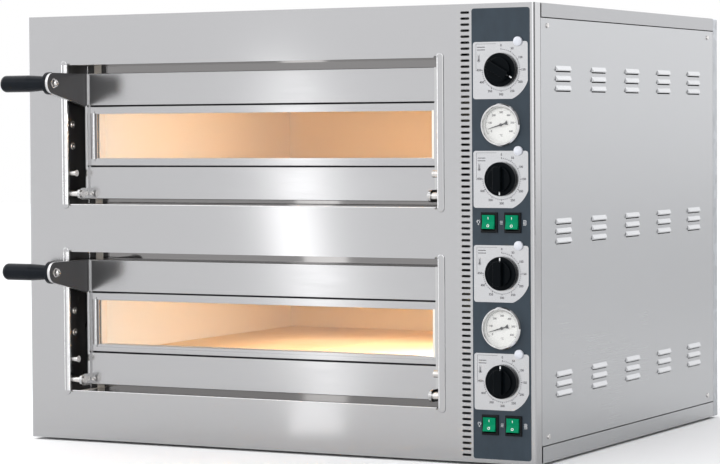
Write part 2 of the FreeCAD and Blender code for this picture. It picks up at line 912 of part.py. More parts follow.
def lever_arm(deck):
    """A flat arm lapped on the left end plate, tapering to a round tip in front of the door."""
    x0 = door_x0 - arm_t
    z1 = deck + door_z0 + door_h
    tip = Vector(x0, -arm_reach, lever_centre_z(deck))
    root = Vector(x0, end_plate_front, z1 - arm_root_h)
    reach = root - tip
    distance = reach.Length
    lean = math.atan2(reach.z, reach.y) - math.acos(arm_tip_r / distance)
    touch = tip + Vector(0, arm_tip_r * math.cos(lean), arm_tip_r * math.sin(lean))
    outline = Part.Wire(
        [
            Part.makeLine(Vector(x0, arm_lap, z1), Vector(x0, -arm_reach, z1)),
            Part.Arc(
                Vector(x0, -arm_reach, z1), Vector(x0, -arm_reach - arm_tip_r, tip.z), touch
            ).toShape(),
            Part.makeLine(touch, root),
            Part.makeLine(root, Vector(x0, arm_lap, root.z)),
            Part.makeLine(Vector(x0, arm_lap, root.z), Vector(x0, arm_lap, z1)),
        ]
    )
    arm = Part.Face(outline).extrude(Vector(arm_t, 0, 0))
    return arm.cut(rod_x(x0 - 1, x0 + arm_t + 1, -arm_reach, tip.z, lever_bolt_r))


def lever_grip(deck):
    """The moulded grip with its collar, turned about the bolt's line."""
    x1 = door_x0 - arm_t
    z = lever_centre_z(deck)
    neck_x = x1 - collar_t
    y = -arm_reach
    bevel_x = neck_x + collar_bevel
    swell_x = neck_x - grip_taper
    round_x = grip_end_x + grip_end_r
    end_face_r = grip_r - grip_end_r
    half_turn = grip_end_r * math.sin(math.pi / 4)

    def at(x, r):
        return Vector(x, y, z + r)

    edges = [
        Part.makeLine(at(x1, 0), at(x1, collar_r)),
        Part.makeLine(at(x1, collar_r), at(bevel_x, collar_r)),
        Part.makeLine(at(bevel_x, collar_r), at(neck_x, collar_r - collar_bevel)),
        Part.makeLine(at(neck_x, collar_r - collar_bevel), at(neck_x, grip_neck_r)),
        Part.makeLine(at(neck_x, grip_neck_r), at(swell_x, grip_r)),
        Part.makeLine(at(swell_x, grip_r), at(round_x, grip_r)),
        Part.Arc(
            at(round_x, grip_r), at(round_x - half_turn, end_face_r + half_turn), at(grip_end_x, end_face_r)
        ).toShape(),
        Part.makeLine(at(grip_end_x, end_face_r), at(grip_end_x, 0)),
        Part.makeLine(at(grip_end_x, 0), at(x1, 0)),
    ]
    grip = Part.Face(Part.Wire(edges)).revolve(Vector(x1, y, z), ACROSS, 360)
    return grip.cut(rod_x(x1 - lever_bolt_len - 1, x1 + 1, y, z, lever_bolt_r))


def door_fasteners(deck):
    """The lever's bolt with its washer and domed nut, and the two corner screws of the front."""
    z = lever_centre_z(deck)
    face = door_x0
    nut_x = face + washer_t
    shank = rod_x(face - arm_t - lever_bolt_len, face, -arm_reach, z, lever_bolt_r)
    washer = rod_x(face, nut_x, -arm_reach, z, washer_r)
    nut = hexagon(Vector(nut_x, -arm_reach, z), INWARD, UPRIGHT, nut_corner_r, Vector(nut_t, 0, 0))
    dome = Part.makeSphere(nut_dome_r, Vector(nut_x + nut_t - 0.4, -arm_reach, z))
    bolt = shank.multiFuse([washer, nut, dome])
    screws = []
    inset = end_plate + corner_screw_inset
    for x in (door_x0 + inset, door_x1 - inset):
        cap = rod_y(door_front - corner_screw_t, door_front, x, deck + pivot_z, corner_screw_r)
        socket = rod_y(door_front - 2, door_front - 0.5, x, deck + pivot_z, corner_screw_r / 2)
        screws.append(cap.cut(socket))
    return Part.makeCompound([bolt] + screws)


# === controls =======================================================================================
def control_overlay():
    plate = rounded_plate(overlay_x0, overlay_x1, -overlay_t, 0, overlay_z0, overlay_z1, 4.0)
    return plate.cut(control_cutouts(-overlay_t - 1, 1))


def dial_plates():
    """Scale plates under the knobs, each with its lower right corner cut to an arc about the knob."""
    plates = []
    for name, (z0, z1) in plate_spans.items():
        y0 = -overlay_t - plate_t
        centre_z = knob_centre_z(name)
        plate = rounded_plate(plate_x0, plate_x1, y0, -overlay_t, z0, z1, plate_corner_r)
        corner = box(control_x, plate_x1 + 1, y0 - 1, 0, z0 - 1, centre_z)
        corner = corner.cut(rod_y(y0 - 2, 1, control_x, centre_z, plate_arc_r))
        holes = [
            corner,
            rod_y(y0 - 1, 0, control_x, centre_z, bush_r + hole_clear),
            rod_y(y0 - 1, 0, indicator_x, z1, indicator_r + hole_clear),
        ]
        plates.append(plate.cut(holes))
    return Part.makeCompound(plates)


def thermostat_bodies():
    """Capillary thermostats behind the fascia, each with a bush for its spindle."""
    bodies = []
    half = thermostat_half
    front, back = thermostat_y
    for name in plate_spans:
        z = knob_centre_z(name)
        body = box(control_x - half, control_x + half, front, back, z - half, z + half)
        neck = rod_y(sheet, front + 1, control_x, z, thermostat_neck_r)
        bush = rod_y(-overlay_t - plate_t, sheet + 1, control_x, z, bush_r)
        bore = rod_y(-5, spindle_end + 1, control_x, z, spindle_r + running)
        bodies.append(body.multiFuse([neck, bush]).cut(bore))
    return Part.makeCompound(bodies)


def knob(name):
    """A round skirt, and a smaller grip whose two sides are cut back to a bar, turned to its setting."""
    z = knob_centre_z(name)
    front = -knob_back - knob_skirt
    top = -knob_back - knob_height
    skirt = rod_y(front, -knob_back, control_x, z, knob_r)
    skirt = fillet_where(skirt, 2.0, lambda edge: edge.BoundBox.YMax < front + 0.01)
    half_bar = knob_bar_w / 2
    bar = box(control_x - half_bar, control_x + half_bar, top, front + 1, z - knob_r, z + knob_r)
    bar = bar.common(rod_y(top - 1, front + 2, control_x, z, knob_grip_r))
    bar = fillet_where(bar, 1.6, lambda edge: edge.BoundBox.YMax < top + 0.01)
    shoulder_y = top + knob_shoulder
    shoulder = rod_y(shoulder_y, front + 1, control_x, z, knob_grip_r)
    shoulder = fillet_where(shoulder, 1.2, lambda edge: edge.BoundBox.YMax < shoulder_y + 0.01)
    half_mark = pointer_w / 2
    pointer = box(
        control_x - half_mark,
        control_x + half_mark,
        front - 1,
        front + pointer_t,
        z + pointer_start,
        z + pointer_end,
    )
    whole = skirt.multiFuse([bar, shoulder]).cut(pointer)
    whole = whole.cut(rod_y(top + 5, 0, control_x, z, spindle_r))
    whole.rotate(Vector(control_x, 0, z), INWARD, knob_turn[name])
    return whole


def spindle(name):
    top = -knob_back - knob_height
    return rod_y(top + 5, spindle_end, control_x, knob_centre_z(name), spindle_r)


def gauge_cases():
    """Dial thermometer cases: a bright bezel in front and a can behind the fascia."""
    cases = []
    for z in gauge_z.values():
        outline = [
            (staff_r + running, staff_end + 0.5),
            (staff_r + running, dial_back),
            (gauge_face_r, dial_back),
            (gauge_face_r, lens_back),
            (gauge_face_r + lens_seat, lens_back),
            (gauge_face_r + lens_seat, lens_front),
            (gauge_face_r - 0.8, lens_front),
            (gauge_face_r - 0.2, -gauge_proud),
            (gauge_r - 1.5, -gauge_proud),
            (gauge_r, -gauge_proud + 2.5),
            (gauge_r, -overlay_t),
            (gauge_can_r, -overlay_t),
            (gauge_can_r, gauge_depth),
            (0.0, gauge_depth),
            (0.0, staff_end + 0.5),
        ]
        cases.append(turned(outline, control_x, z))
    return Part.makeCompound(cases)


def gauge_dials():
    hole_r = staff_r + running
    outline = [
        (hole_r, dial_back),
        (hole_r, dial_front),
        (gauge_face_r, dial_front),
        (gauge_face_r, dial_back),
    ]
    return Part.makeCompound([turned(outline, control_x, z) for z in gauge_z.values()])


def gauge_lenses():
    lens_r = gauge_face_r + lens_seat
    return Part.makeCompound(
        [rod_y(lens_front, lens_back, control_x, z, lens_r) for z in gauge_z.values()]
    )


def gauge_needle(deck):
    """A thin pointer with a spade tail on its staff, drawn level and then dropped to its reading."""
    z = gauge_z[deck]
    half_outline = [
        (-needle_reach, 0.3),
        (0.0, 1.1),
        (needle_tail / 2, 0.8),
        (needle_tail, 3.4),
    ]
    upper_edge = [Vector(control_x + x, needle_front, z + rise) for x, rise in half_outline]
    lower_edge = [Vector(control_x + x, needle_front, z - rise) for x, rise in reversed(half_outline)]
    blade = prism(upper_edge + lower_edge, Vector(0, needle_back - needle_front, 0))
    hub = rod_y(needle_front - 0.8, needle_back + 0.4, control_x, z, 2.2)
    staff = rod_y(needle_back, staff_end, control_x, z, staff_r)
    needle = blade.multiFuse([hub, staff])
    needle.rotate(Vector(control_x, 0, z), INWARD, -needle_drop)
    return needle


def indicator_lamps():
    """Small round lamps with domed lenses, each on the upper edge of a scale plate."""
    lamps = []
    rim = -indicator_proud
    dome_centre = rim + math.sqrt(indicator_dome_r ** 2 - indicator_r ** 2)
    for _, z in plate_spans.values():
        lens = rod_y(rim, -overlay_t, indicator_x, z, indicator_r)
        dome = Part.makeSphere(indicator_dome_r, Vector(indicator_x, dome_centre, z))
        dome = dome.common(rod_y(rim - indicator_r, rim + 0.2, indicator_x, z, indicator_r))
        body = rod_y(-overlay_t, indicator_depth, indicator_x, z, indicator_body_r)
        lamps.append(lens.multiFuse([dome, body]))
    return Part.makeCompound(lamps)


def centred(x, z, half_w, half_h, y0, y1):
    """A block about a point of the fascia, from y0 back to y1."""
    return box(x - half_w, x + half_w, y0, y1, z - half_h, z + half_h)


def rocker_housings():
    """Switch housings: a square bezel in front and a box behind, with the pocket for the rocker."""
    housings = []
    for z in rocker_z.values():
        for x in rocker_x.values():
            bezel = centred(x, z, bezel_half_w, bezel_half_h, -bezel_proud, -overlay_t)
            bezel = fillet_where(bezel, 1.4, lambda edge: edge.BoundBox.YMax < -bezel_proud + 0.01)
            body = centred(x, z, housing_half_w, housing_half_h, -overlay_t, pocket_depth + 8)
            pocket = centred(x, z, pocket_half_w, pocket_half_h, -bezel_proud - 1, pocket_depth)
            bore_half = housing_half_w - 0.6
            bore = rod_x(x - bore_half, x + bore_half, rocker_pivot_y, z, rocker_axle_r + running)
            housings.append(bezel.fuse(body).cut([pocket, bore]))
    return Part.makeCompound(housings)


def rocker(deck, side):
    """A rocker with two shallow faces, tilted to one of its two settings, on its own small axle."""
    x = rocker_x[side]
    z = rocker_z[deck]
    h = rocker_half_h
    crest = -7.4
    profile = [(crest, h), (-5.6, 0), (crest, -h), (0, -h), (7, -4), (7, 4), (0, h)]
    corners = [Vector(x - rocker_half_w, y, z + rise) for y, rise in profile]
    body = prism(corners, Vector(2 * rocker_half_w, 0, 0))
    body = fillet_where(
        body, 0.6, lambda edge: runs_along(edge, ACROSS) and edge.BoundBox.YMax < crest + 0.01
    )
    axle_half = housing_half_w - 0.8
    axle = rod_x(x - axle_half, x + axle_half, rocker_pivot_y, z, rocker_axle_r)
    whole = body.fuse(axle)
    whole.rotate(Vector(x, rocker_pivot_y, z), ACROSS, -rocker_tilt)
    return whole


# === every node, written to its own file =============================================================
def all_nodes():
    nodes = {
        "front_fascia": front_fascia(),
        "top_cover": top_cover(),
        "base_tray": base_tray(),
        "left_side_panel": left_side_panel(),
        "right_side_panel": right_side_panel(),
        "rear_panel": rear_panel(),
        "partition_wall": partition_wall(),
        "feet": feet(),
        "panel_screws": panel_screws(),
        "cable_gland": cable_gland(),
        "terminal_block": terminal_block(),
        "mouth_frames": mouth_frames(),
        "recess_side_plates": recess_side_plates(),
        "hinge_pins": hinge_pins(),
        "stop_studs": stop_studs(),
        "side_plate_screws": side_plate_screws(),
        "insulation": insulation(),
        "chamber_lamps": chamber_lamps(),
        "control_overlay": control_overlay(),
        "dial_plates": dial_plates(),
        "thermostat_bodies": thermostat_bodies(),
        "gauge_cases": gauge_cases(),
        "gauge_dials": gauge_dials(),
        "gauge_lenses": gauge_lenses(),
        "indicator_lamps": indicator_lamps(),
        "rocker_housings": rocker_housings(),
    }
    for name, deck in deck_z.items():
        nodes[name + "_chamber"] = chamber(deck)
        nodes[name + "_baking_stones"] = baking_stones(deck)
        nodes[name + "_elements"] = elements(deck)
        nodes[name + "_door_shell"] = door_shell(deck)
        nodes[name + "_door_liner"] = door_liner(deck)
        nodes[name + "_door_glass"] = door_glass(deck)
        nodes[name + "_door_end_plates"] = door_end_plates(deck)
        nodes[name + "_door_fasteners"] = door_fasteners(deck)
        nodes[name + "_lever_arm"] = lever_arm(deck)
        nodes[name + "_lever_grip"] = lever_grip(deck)
        nodes[name + "_gauge_needle"] = gauge_needle(name)
        for side in rocker_x:
            nodes[name + "_" + side + "_rocker"] = rocker(name, side)
    for name in plate_spans:
        nodes[name + "_knob"] = knob(name)
        nodes[name + "_spindle"] = spindle(name)
    return nodes


os.makedirs("parts", exist_ok=True)
for node, shape in all_nodes().items():
    placed = shape.copy()
    placed.translate(shift)
    placed.exportStep("parts/" + node + ".step")
    state = "valid" if placed.isValid() else "NOT VALID"
    print(node, len(placed.Solids), "solids", state, round(placed.Volume / 1000, 1), "cm3")
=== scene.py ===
import json
import math

import bmesh
import bpy
from mathutils import Matrix, Vector


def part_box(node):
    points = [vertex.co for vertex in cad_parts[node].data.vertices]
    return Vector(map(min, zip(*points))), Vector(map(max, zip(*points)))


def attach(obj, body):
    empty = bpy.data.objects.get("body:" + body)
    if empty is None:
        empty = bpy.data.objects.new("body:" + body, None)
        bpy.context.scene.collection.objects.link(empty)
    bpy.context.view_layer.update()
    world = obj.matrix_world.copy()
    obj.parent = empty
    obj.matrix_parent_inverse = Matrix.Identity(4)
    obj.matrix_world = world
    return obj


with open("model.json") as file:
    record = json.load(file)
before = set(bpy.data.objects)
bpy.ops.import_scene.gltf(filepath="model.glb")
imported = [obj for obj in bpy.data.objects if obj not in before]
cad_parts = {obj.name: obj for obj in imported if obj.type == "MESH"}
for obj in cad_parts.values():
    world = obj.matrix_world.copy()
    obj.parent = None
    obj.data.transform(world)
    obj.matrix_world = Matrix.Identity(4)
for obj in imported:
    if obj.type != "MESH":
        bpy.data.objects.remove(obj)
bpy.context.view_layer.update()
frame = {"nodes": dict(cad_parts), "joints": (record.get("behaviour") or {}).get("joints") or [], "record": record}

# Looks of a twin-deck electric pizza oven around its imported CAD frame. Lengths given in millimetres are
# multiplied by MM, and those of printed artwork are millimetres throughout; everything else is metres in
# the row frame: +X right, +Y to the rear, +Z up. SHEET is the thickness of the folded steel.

MM = 0.001
nodes = frame["nodes"]
SHEET = 1.5 * MM
DECKS = ("lower", "upper")
SCALES = ("upper_ceiling", "upper_floor", "lower_ceiling", "lower_floor")


# === node materials =================================================================================
class Shader:
    """A material under construction: its Principled shader and the nodes that feed it."""

    def __init__(self, name, **values):
        self.material = bpy.data.materials.new(name)
        self.material.use_nodes = True
        self.tree = self.material.node_tree
        self.bsdf = self.tree.nodes["Principled BSDF"]
        for key, value in values.items():
            self.bsdf.inputs[key.replace("_", " ")].default_value = value

    def node(self, kind, values=None, **settings):
        made = self.tree.nodes.new(kind)
        for key, value in settings.items():
            setattr(made, key, value)
        for key, value in (values or {}).items():
            made.inputs[key].default_value = value
        return made

    def link(self, source, target):
        self.tree.links.new(source, target)

    def places(self, scale):
        """The row frame's coordinates on the surface, times a scale along each axis."""
        coords = self.node("ShaderNodeTexCoord")
        mapping = self.node("ShaderNodeMapping")
        mapping.inputs["Scale"].default_value = scale
        self.link(coords.outputs["Object"], mapping.inputs["Vector"])
        return mapping.outputs["Vector"]

    def noise(self, scale, detail=3.0, roughness=0.5):
        """Noise between 0 and 1 with its own number of cells per metre along each axis."""
        texture = self.node(
            "ShaderNodeTexNoise", {"Scale": 1.0, "Detail": detail, "Roughness": roughness}
        )
        self.link(self.places(scale), texture.inputs["Vector"])
        return texture.outputs["Fac"]

    def ranged(self, source, low, high, out_low, out_high):
        """A number, kept between low and high, carried over to another range."""
        node = self.node("ShaderNodeMapRange")
        for index, value in enumerate((low, high, out_low, out_high), start=1):
            node.inputs[index].default_value = value
        self.link(source, node.inputs["Value"])
        return node.outputs["Result"]

    def mix(self, factor, first, second):
        """A colour between two colours; each is a plain colour or the output of a node."""
        node = self.node("ShaderNodeMix", data_type="RGBA")
        self.link(factor, node.inputs["Factor"])
        for socket, value in ((node.inputs[6], first), (node.inputs[7], second)):
            if isinstance(value, tuple):
                socket.default_value = (*value, 1.0)
            else:
                self.link(value, socket)
        return node.outputs[2]

    def mottled(self, noise, low, high, first, second):
        """Two colours mixed by a noise: the first where it is below low, the second above high."""
        return self.mix(self.ranged(noise, low, high, 0.0, 1.0), first, second)

    def combined(self, first, second, operation="ADD"):
        """The sum of two numbers, or what another operation makes of them."""
        node = self.node("ShaderNodeMath", operation=operation)
        self.link(first, node.inputs[0])
        self.link(second, node.inputs[1])
        return node.outputs["Value"]

    def colour(self, source):
        self.link(source, self.bsdf.inputs["Base Color"])

    def roughness(self, source):
        self.link(source, self.bsdf.inputs["Roughness"])

    def axis(self, kind, letter):
        """One component of a coordinate output: kind is Object or Normal, letter X, Y or Z."""
        coords = self.node("ShaderNodeTexCoord")
        split = self.node("ShaderNodeSeparateXYZ")
        self.link(coords.outputs[kind], split.inputs["Vector"])
        return split.outputs[letter]

    def tangent(self, axis):
        """Stretches the highlight along one axis of the row frame."""
        along = self.node("ShaderNodeCombineXYZ", {axis: 1.0})
        self.link(along.outputs["Vector"], self.bsdf.inputs["Tangent"])

    def bump(self, height, strength, distance):
        node = self.node("ShaderNodeBump", {"Strength": strength, "Distance": distance})
        self.link(height, node.inputs["Height"])
        self.link(node.outputs["Normal"], self.bsdf.inputs["Normal"])


def tinted(colour, factor):
    """A colour made darker or lighter by a factor."""
    return tuple(min(1.0, channel * factor) for channel in colour)


def brushed_steel(name, colour, rough, grain=(4.0, 4.0, 1400.0), stretch=0.4, contrast=0.006):
    """Sheet steel with a fine directional grain, faint smears and a soft, stretched highlight."""
    made = Shader(name, Metallic=1.0, Anisotropic=stretch)
    fine = made.noise(grain, detail=2.0)
    smears = made.noise((3.5, 3.5, 2.2), detail=4.0, roughness=0.6)
    made.colour(made.mottled(fine, 0.3, 0.7, tinted(colour, 1.0 - contrast), tinted(colour, 1.0 + contrast)))
    grainy = made.ranged(fine, 0.3, 0.7, rough * 0.98, rough * 1.02)
    smeared = made.ranged(smears, 0.35, 0.7, 0.0, rough * 0.04)
    made.roughness(made.combined(grainy, smeared))
    made.bump(fine, 0.004, 0.00003)
    made.tangent("Z" if grain[2] > 100 else "X")
    return made.material


def bright_sheet(name, colour, rough, stretch=0.0, waves=0.2, painted_lit_strip=None):
    """Bright annealed sheet, near to a mirror, a little wavy over its width and wiped by hand. Between the two X
    positions given for the lit strip it is matt and painted pale cream, a painted glow of the chamber's light."""
    made = Shader(name, Metallic=1.0, Anisotropic=stretch)
    buckles = made.noise((2.4, 2.4, 5.0), detail=1.0)
    wiped = made.noise((5.0, 5.0, 40.0), detail=4.0, roughness=0.6)
    base = made.mottled(wiped, 0.3, 0.75, colour, tinted(colour, 0.975))
    rough_at = made.ranged(wiped, 0.35, 0.8, rough * 0.92, rough * 1.2)
    # Painted light: the strip is painted pale cream and matt where the chamber's light falls on it.
    if painted_lit_strip:
        across = made.axis("Object", "X")
        after = made.ranged(across, painted_lit_strip[0], painted_lit_strip[0] + MM, 0.0, 1.0)
        before = made.ranged(across, painted_lit_strip[1] - MM, painted_lit_strip[1], 1.0, 0.0)
        matt = made.combined(after, before, "MULTIPLY")
        base = made.mix(matt, base, (0.92, 0.86, 0.78))
        rough_at = made.combined(rough_at, made.ranged(matt, 0.0, 1.0, 0.0, 0.4))
        made.link(made.ranged(matt, 0.0, 1.0, 1.0, 0.0), made.bsdf.inputs["Metallic"])
    made.colour(base)
    made.roughness(rough_at)
    made.bump(buckles, waves, 0.0004)
    made.tangent("Z")
    return made.material


def edged_steel(name, face, edge):
    """A dark blackened plate whose ground edges are left bright; its faces look along X."""
    made = Shader(name)
    sideways = made.axis("Normal", "X")
    flat = made.combined(sideways, sideways, "MULTIPLY")
    bare = made.ranged(flat, 0.35, 0.75, 1.0, 0.0)
    cloud = made.noise((22.0, 22.0, 22.0), detail=4.0, roughness=0.6)
    grain = made.noise((600.0, 40.0, 900.0), detail=2.0)
    dark = made.mottled(cloud, 0.35, 0.75, face, tinted(face, 1.25))
    made.colour(made.mix(bare, dark, edge))
    made.link(bare, made.bsdf.inputs["Metallic"])
    made.roughness(made.ranged(grain, 0.3, 0.7, 0.28, 0.33))
    made.bump(grain, 0.015, 0.00003)
    return made.material


def zinc_sheet(name, colour):
    """Galvanised sheet with its crystal spangle."""
    made = Shader(name, Metallic=1.0)
    cells = made.node("ShaderNodeTexVoronoi", {"Scale": 1.0, "Randomness": 1.0})
    made.link(made.places((70.0, 70.0, 70.0)), cells.inputs["Vector"])
    shade = made.node("ShaderNodeSeparateColor")
    made.link(cells.outputs["Color"], shade.inputs["Color"])
    made.colour(made.mix(shade.outputs["Red"], tinted(colour, 0.88), tinted(colour, 1.08)))
    made.roughness(made.ranged(shade.outputs["Green"], 0.0, 1.0, 0.3, 0.46))
    return made.material


def turned_metal(name, colour, rough):
    """Small machined or plated pieces: faint scratches and slightly dulled patches."""
    made = Shader(name, Metallic=1.0)
    scratches = made.noise((240.0, 240.0, 500.0), detail=3.0)
    dull = made.noise((110.0, 110.0, 110.0), detail=3.0)
    made.colour(made.mottled(dull, 0.35, 0.7, colour, tinted(colour, 0.88)))
    made.roughness(
        made.combined(
            made.ranged(scratches, 0.3, 0.7, rough * 0.85, rough * 1.15),
            made.ranged(dull, 0.4, 0.7, 0.0, rough * 0.4),
        )
    )
    made.bump(scratches, 0.04, 0.00002)
    return made.material


def enamelled(name, colour, rough, specks, wear):
    """Painted or powder-coated steel: orange peel, faint dust specks and lighter rubbed patches."""
    made = Shader(name, Coat_Weight=0.25, Coat_Roughness=0.25)
    peel = made.noise((specks, specks, specks), detail=2.0)
    rubbed = made.noise((28.0, 28.0, 12.0), detail=5.0, roughness=0.7)
    made.colour(made.mottled(rubbed, 0.45, 0.8, colour, wear))
    made.roughness(made.ranged(rubbed, 0.3, 0.8, rough * 0.85, rough * 1.3))
    made.bump(peel, 0.15, 0.00006)
    return made.material


def moulded(name, colour, rough, shine=0.35, texture=700.0, depth=0.00002):
    """Moulded plastic or rubber: fine mould texture, slight flow marks, handling sheen."""
    made = Shader(name, Specular_IOR_Level=shine)
    grain = made.noise((texture, texture, texture), detail=2.0)
    flow = made.noise((60.0, 60.0, 22.0), detail=4.0, roughness=0.6)
    made.colour(made.mottled(flow, 0.3, 0.75, colour, tinted(colour, 1.35)))
    made.roughness(made.ranged(flow, 0.3, 0.75, rough * 0.85, rough * 1.25))
    made.bump(grain, 0.08, depth)
    return made.material


def fired_clay(name):
    """The baking stones: sandy fired clay with pores, flour traces and toasted patches."""
    made = Shader(name)
    sand = made.noise((900.0, 900.0, 900.0), detail=4.0, roughness=0.7)
    patches = made.noise((9.0, 7.0, 9.0), detail=5.0, roughness=0.6)
    pale = made.mottled(sand, 0.3, 0.7, (0.84, 0.61, 0.31), (0.97, 0.77, 0.46))
    made.colour(made.mix(made.ranged(patches, 0.42, 0.75, 0.0, 0.55), pale, (0.76, 0.48, 0.19)))
    made.roughness(made.ranged(sand, 0.2, 0.8, 0.75, 0.95))
    made.bump(sand, 0.4, 0.0004)
    return made.material


def fired_sheet(name, colour):
    """A sheet edge painted matt and pale cream, a painted glow of the chamber's light on it."""
    made = Shader(name, Metallic=0.2)
    cloud = made.noise((60.0, 60.0, 20.0), detail=3.0)
    made.colour(made.mottled(cloud, 0.3, 0.7, colour, tinted(colour, 0.93)))
    made.roughness(made.ranged(cloud, 0.3, 0.7, 0.35, 0.45))
    return made.material


def chamber_sheet(name):
    """Chamber walls that baking has tanned, with painted light: the side away from the lamp is painted palest near
    the mouth, fading toward the back.
    """
    made = Shader(name, Metallic=0.15)
    clouds = made.noise((4.0, 4.0, 6.0), detail=4.0, roughness=0.55)
    grain = made.noise((8.0, 8.0, 900.0), detail=2.0)
    tan = made.mottled(clouds, 0.35, 0.7, (0.80, 0.61, 0.35), (0.76, 0.56, 0.30))
    low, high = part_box("upper_chamber")
    # Painted light: the left wall is painted pale bluish white near the mouth, fading toward the back of the
    # chamber.
    aside = made.ranged(made.axis("Object", "X"), low.x + 2 * MM, low.x + 30 * MM, 1.0, 0.0)
    mouthward = made.ranged(made.axis("Object", "Y"), low.y, high.y, 1.0, 0.15)
    made.colour(made.mix(made.combined(aside, mouthward, "MULTIPLY"), tan, (0.93, 0.97, 1.00)))
    made.roughness(made.ranged(grain, 0.3, 0.7, 0.42, 0.55))
    made.bump(grain, 0.05, 0.00004)
    return made.material


def wool(name):
    """Packed mineral wool: tangled yellow-grey fibres."""
    made = Shader(name, Roughness=0.95, Sheen_Weight=0.3)
    fibres = made.noise((90.0, 90.0, 650.0), detail=5.0, roughness=0.75)
    made.colour(made.mottled(fibres, 0.3, 0.7, (0.52, 0.45, 0.24), (0.80, 0.74, 0.50)))
    made.bump(fibres, 0.6, 0.001)
    return made.material


def pane(name, tint, rough, alpha):
    """Flat glass: mostly clear, with the sheen and the faint wipe marks of a used pane."""
    made = Shader(name, Base_Color=(*tint, 1.0), Alpha=alpha, IOR=1.5, Specular_IOR_Level=0.5)
    marks = made.noise((14.0, 14.0, 40.0), detail=5.0, roughness=0.7)
    made.roughness(made.ranged(marks, 0.4, 0.8, rough, rough * 3.0))
    return made.material


def frosted(name, colour, glow=0.0):
    """Milky lamp covers, slightly brighter where the plastic or the glass is thin."""
    made = Shader(name, Emission_Strength=glow, Specular_IOR_Level=0.3)
    made.bsdf.inputs["Emission Color"].default_value = (*colour, 1.0)
    cloud = made.noise((220.0, 220.0, 220.0), detail=3.0)
    made.colour(made.mottled(cloud, 0.3, 0.7, colour, tinted(colour, 0.93)))
    made.roughness(made.ranged(cloud, 0.3, 0.7, 0.34, 0.46))
    return made.material


def printed(name, colour, rough=0.55):
    """Screen-printed ink with a slightly uneven film."""
    made = Shader(name)
    film = made.noise((1500.0, 1500.0, 1500.0), detail=2.0)
    made.colour(made.mottled(film, 0.3, 0.7, colour, tinted(colour, 1.2)))
    made.roughness(made.ranged(film, 0.3, 0.7, rough * 0.9, rough * 1.1))
    return made.material


LONG_GRAIN = (1400.0, 4.0, 1400.0)
LOOKS = {
    "fascia_steel": brushed_steel("fascia steel", (0.535, 0.535, 0.539), 0.15),
    "panel_steel": brushed_steel("panel steel", (0.500, 0.507, 0.515), 0.26),
    "bright_steel": bright_sheet("bright steel", (0.60, 0.60, 0.60), 0.16),
    "galvanised_steel": zinc_sheet("galvanised steel", (0.50, 0.52, 0.54)),
    "black_steel": enamelled("black steel", (0.006, 0.006, 0.007), 0.30, 600.0, (0.012, 0.012, 0.013)),
    "lever_steel": edged_steel("lever steel", (0.038, 0.037, 0.039), (0.78, 0.78, 0.78)),
    "fastener_steel": turned_metal("bright zinc", (0.78, 0.76, 0.74), 0.18),
    "chamber_steel": chamber_sheet("chamber sheet"),
    "refractory": fired_clay("fired clay"),
    "element_sheath": turned_metal("element sheath", (0.16, 0.15, 0.145), 0.42),
    "mineral_wool": wool("mineral wool"),
    "lamp_glass": frosted("frosted lamp glass", (0.95, 0.85, 0.66), glow=2.0),
    "door_glass": pane("door glass", (0.92, 0.90, 0.86), 0.02, 0.06),
    "black_plastic": moulded("black phenolic", (0.002, 0.003, 0.004), 0.18, shine=0.05),
    "spindle_steel": turned_metal("spindle steel", (0.55, 0.55, 0.56), 0.28),
    "overlay_blue": moulded("overlay", (0.019, 0.031, 0.043), 0.42, texture=1600.0),
    "dial_silver": brushed_steel("dial silver", (0.62, 0.625, 0.635), 0.24, stretch=0.3),
    "gauge_chrome": turned_metal("gauge chrome", (0.78, 0.78, 0.78), 0.07),
    "gauge_white": enamelled("gauge white", (0.72, 0.72, 0.69), 0.5, 900.0, (0.69, 0.69, 0.66)),
    "clear_glass": pane("gauge glass", (0.96, 0.97, 0.98), 0.02, 0.05),
    "needle_black": enamelled("needle black", (0.012, 0.012, 0.012), 0.4, 900.0, (0.02, 0.02, 0.02)),
    "lamp_lens": frosted("indicator lens", (0.66, 0.68, 0.73)),
    "switch_black": moulded("switch black", (0.005, 0.006, 0.007), 0.20, shine=0.16),
    "switch_green": moulded("switch green", (0.001, 0.185, 0.085), 0.14, shine=0.06),
    "phenolic": moulded("pale phenolic", (0.62, 0.58, 0.48), 0.5),
    "rubber": moulded("rubber", (0.018, 0.018, 0.018), 0.7, texture=400.0),
}

# Looks that single nodes and added pieces take. The strips of the door liners and of the mouth frames that are
# painted pale, a painted glow of the chamber's light, lie at the left of the windows and of the chambers.
window_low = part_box("upper_door_glass")[0].x
chamber_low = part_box("upper_chamber")[0].x
window_strip = (window_low, window_low + 14 * MM)
mouth_strip = (chamber_low - 12 * MM, chamber_low + 3 * MM)
cover_steel = brushed_steel("cover steel", (0.440, 0.444, 0.450), 0.34, grain=LONG_GRAIN)
grip_black = moulded("grip black", (0.006, 0.008, 0.011), 0.14, shine=0.12)
door_steel = bright_sheet("door steel", (0.530, 0.530, 0.534), 0.19, stretch=0.5, waves=0.08)
liner_steel = bright_sheet("liner steel", (0.53, 0.53, 0.53), 0.3, painted_lit_strip=window_strip)
# The mouth frames' steel is tinted dark, painted shade of the recess behind the doors.
mirror_steel = bright_sheet("mirror steel", (0.25, 0.244, 0.24), 0.05, painted_lit_strip=mouth_strip)
edge_steel = turned_metal("sheet edge", (0.90, 0.90, 0.90), 0.2)
shade_steel = turned_metal("shaded edge", (0.10, 0.085, 0.08), 0.3)
# Painted shadow: near-black strips and slats that stand in for the shade deep in the door joints and inside the
# rear vents.
painted_shadow_black = moulded("painted shadow black", (0.008, 0.008, 0.009), 0.6, shine=0.05)
# Painted light: a pale cream edge that stands in for the chamber's light on the window's right reveal.
lit_edge = fired_sheet("lit edge", (0.90, 0.87, 0.78))
black_ink = printed("black ink", (0.02, 0.02, 0.022))
white_ink = printed("white ink", (0.82, 0.83, 0.84))


